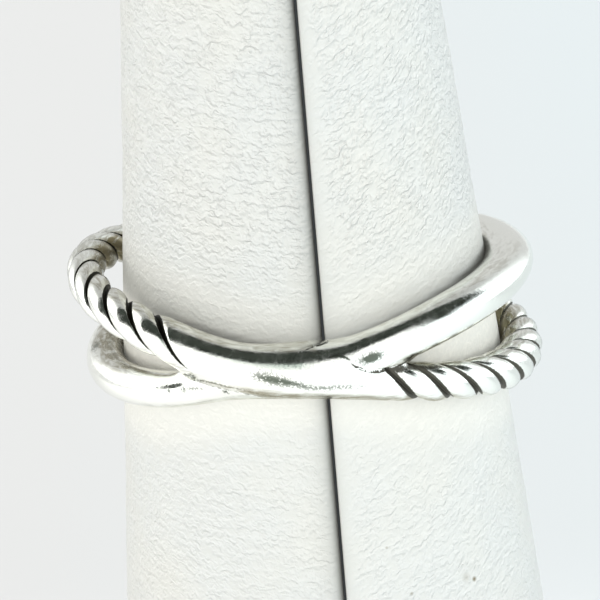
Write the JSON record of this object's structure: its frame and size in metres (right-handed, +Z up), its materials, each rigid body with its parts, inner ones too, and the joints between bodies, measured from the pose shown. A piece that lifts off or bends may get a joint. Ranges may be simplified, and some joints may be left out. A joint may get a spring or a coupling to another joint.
{
  "type": "cable wrap ring on ring display stand",
  "caption": "Polished silver crossover ring with a twisted cable strand laid over a smooth round strand, on a leather-covered ring cone with a slit front.",
  "frame": {"origin": "centre of the flat base of the cone, on the surface that it stands on", "axes": "+Z up along the cone's axis, -Y to the front, where the strands cross and the slit runs, +X to the right"},
  "size_m": [0.0228, 0.0228, 0.054],
  "materials": {
    "silver": "polished sterling silver, blackened in the grooves of the cable",
    "leather": "white leatherette, fine pebbled and wrinkled grain, satin"
  },
  "bodies": {
    "root": {"ring": "silver", "stand": "leather"}
  },
  "joints": []
}
